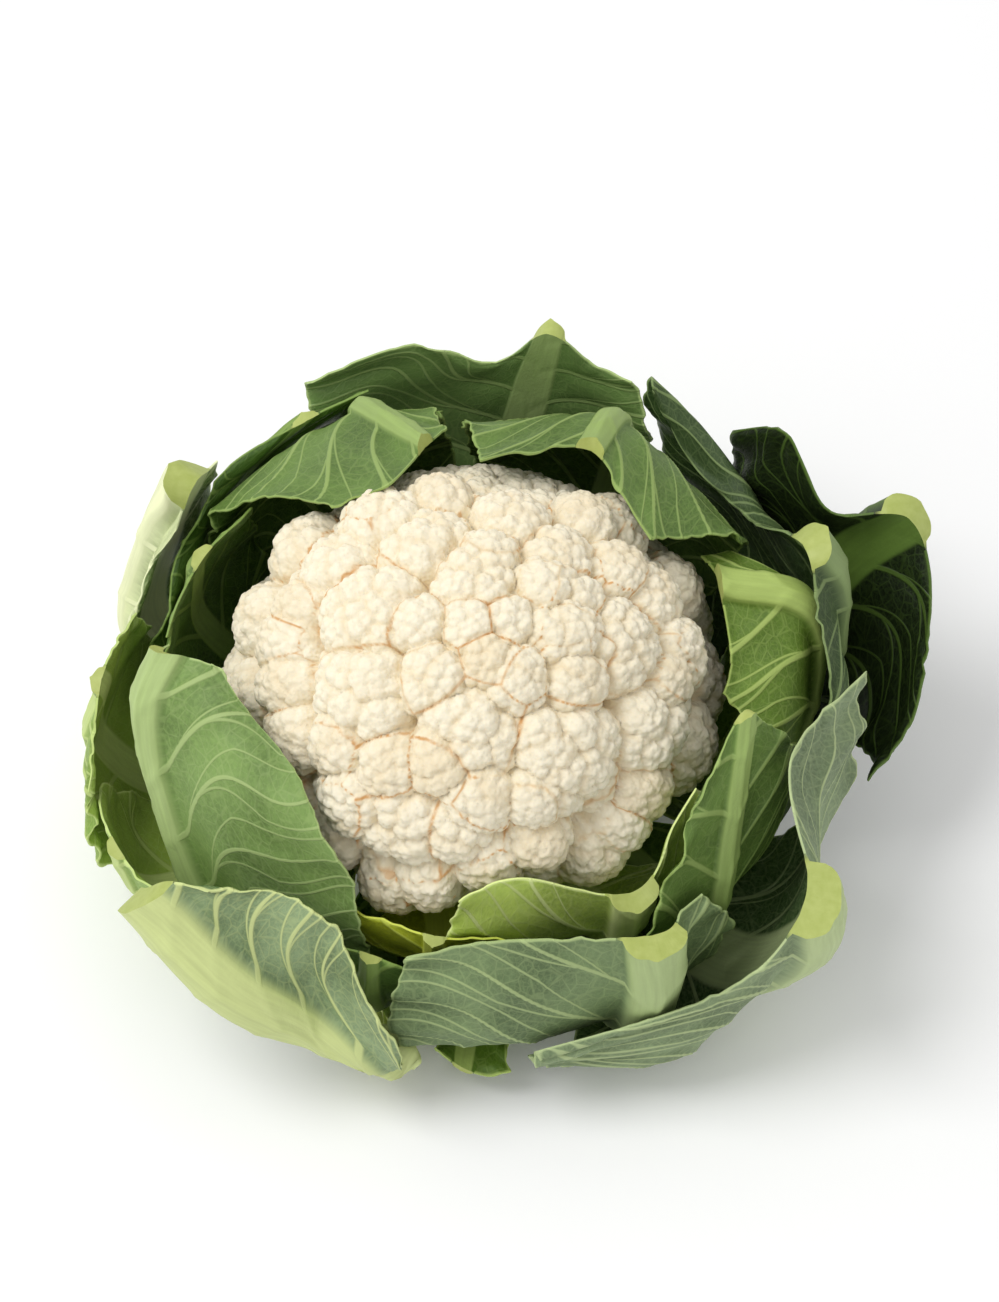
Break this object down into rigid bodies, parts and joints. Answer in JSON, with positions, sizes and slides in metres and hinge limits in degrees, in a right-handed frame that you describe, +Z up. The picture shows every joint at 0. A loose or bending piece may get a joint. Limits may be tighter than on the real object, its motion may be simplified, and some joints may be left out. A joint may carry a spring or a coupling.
{
  "type": "cauliflower",
  "caption": "Whole white cauliflower head with a lumpy cream curd, trimmed wrapper leaves with pale midribs, and a short cut stump.",
  "frame": {"origin": "middle of the stump's flat cut face, on which the head rests", "axes": "+Z up out of the crown of the curd, -Y towards the picture's viewer, +X to the viewer's right"},
  "size_m": [0.2404, 0.2051, 0.1247],
  "materials": {
    "stump": "moist cut stem",
    "floret_cream": "matte, finely grained curd",
    "leaf_dark": "waxy dark leaf with pale veins",
    "leaf_fresh": "fresh bright leaf with pale veins",
    "leaf_mid": "waxy mid-green leaf with pale veins",
    "leaf_grey": "grey-green bloomed leaf back with raised pale veins",
    "leaf_pale": "pale thick midrib with grey-green blade"
  },
  "bodies": {
    "root": {"stem": "stump", "curd": "floret_cream", "leaf_left_inner": "leaf_dark", "leaf_front_inner": "leaf_fresh", "leaf_front_left_inner": "leaf_fresh", "leaf_right_inner": "leaf_fresh", "leaf_over_top_right": "leaf_fresh", "leaf_over_top_left": "leaf_fresh", "leaf_left_folded": "leaf_mid", "leaf_front_left_mid": "leaf_dark", "leaf_front_right_inner": "leaf_fresh", "leaf_back_left": "leaf_dark", "leaf_back": "leaf_dark", "leaf_right_mid": "leaf_grey", "leaf_front_outer": "leaf_grey", "leaf_front_right_outer": "leaf_grey", "leaf_right_outer": "leaf_dark", "leaf_left_low": "leaf_fresh", "leaf_left_outer": "leaf_dark", "leaf_front_left_outer": "leaf_pale", "leaf_upper_left_outer": "leaf_pale", "leaf_front_low": "leaf_fresh"}
  },
  "joints": []
}
